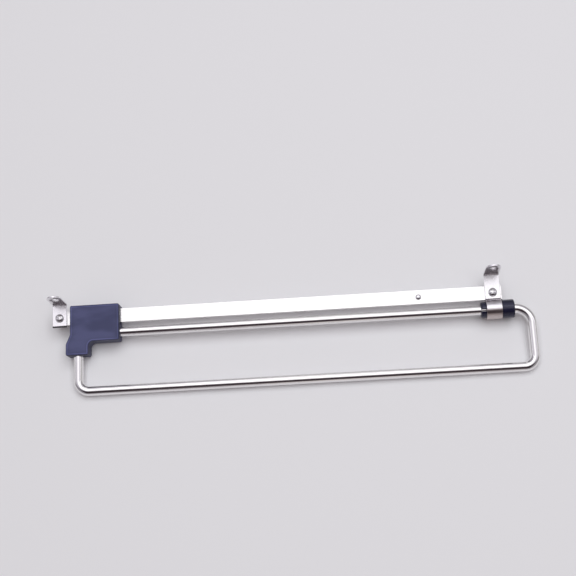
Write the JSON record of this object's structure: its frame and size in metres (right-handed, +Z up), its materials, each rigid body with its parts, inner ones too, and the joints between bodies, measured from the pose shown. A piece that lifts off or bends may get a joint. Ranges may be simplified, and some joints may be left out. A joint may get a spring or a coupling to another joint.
{
  "type": "closet valet rod",
  "caption": "Pull-out closet rail: a bent wire bow for hangers slides out on a plastic carriage along a flat steel bar, which hangs from two screw lugs under a shelf.",
  "frame": {"origin": "on the underside of the shelf, midway between the two fixing holes of the lugs", "axes": "+X level, towards the front, the way the bow pulls out; +Y from the lugs' flanges towards the back of the bar; +Z up to the shelf. The bar and the slide run 0.59 degrees down to the front"},
  "size_m": [0.3973, 0.0343, 0.0836],
  "materials": {
    "bar_steel": "bright nickel plate, fine drawn grain, satin gloss",
    "lug_steel": "bright nickel plate on pressed strip",
    "bow_wire": "polished nickel plate on round wire",
    "fastener_steel": "zinc plate, slightly dull",
    "carriage_plastic": "moulded nylon, blue-black, fine even grain",
    "bush_plastic": "moulded nylon, blue-black, semi-gloss",
    "liner_plastic": "moulded acetal, natural white"
  },
  "bodies": {
    "fixed_rail": {"rail_bar": "bar_steel", "rear_bracket": "lug_steel", "rear_bracket_screw": "fastener_steel", "rear_lock_washer": "fastener_steel", "rear_nut": "fastener_steel", "front_bracket": "lug_steel", "front_bracket_screw": "fastener_steel", "front_lock_washer": "fastener_steel", "front_nut": "fastener_steel", "guide_bush": "bush_plastic", "stop_rivet": "fastener_steel"},
    "sliding_bow": {"wire_bow": "bow_wire", "carriage_front_shell": "carriage_plastic", "carriage_rear_shell": "carriage_plastic", "upper_slide_liner": "liner_plastic", "lower_slide_liner": "liner_plastic", "carriage_screw_1": "fastener_steel", "carriage_screw_2": "fastener_steel", "carriage_screw_3": "fastener_steel", "carriage_screw_4": "fastener_steel"}
  },
  "joints": [
    {"name": "bow_slide", "type": "slide", "parent": "fixed_rail", "child": "sliding_bow", "axis": [0.9999, 0, -0.0103], "range_m": [0, 0.2446]}
  ]
}
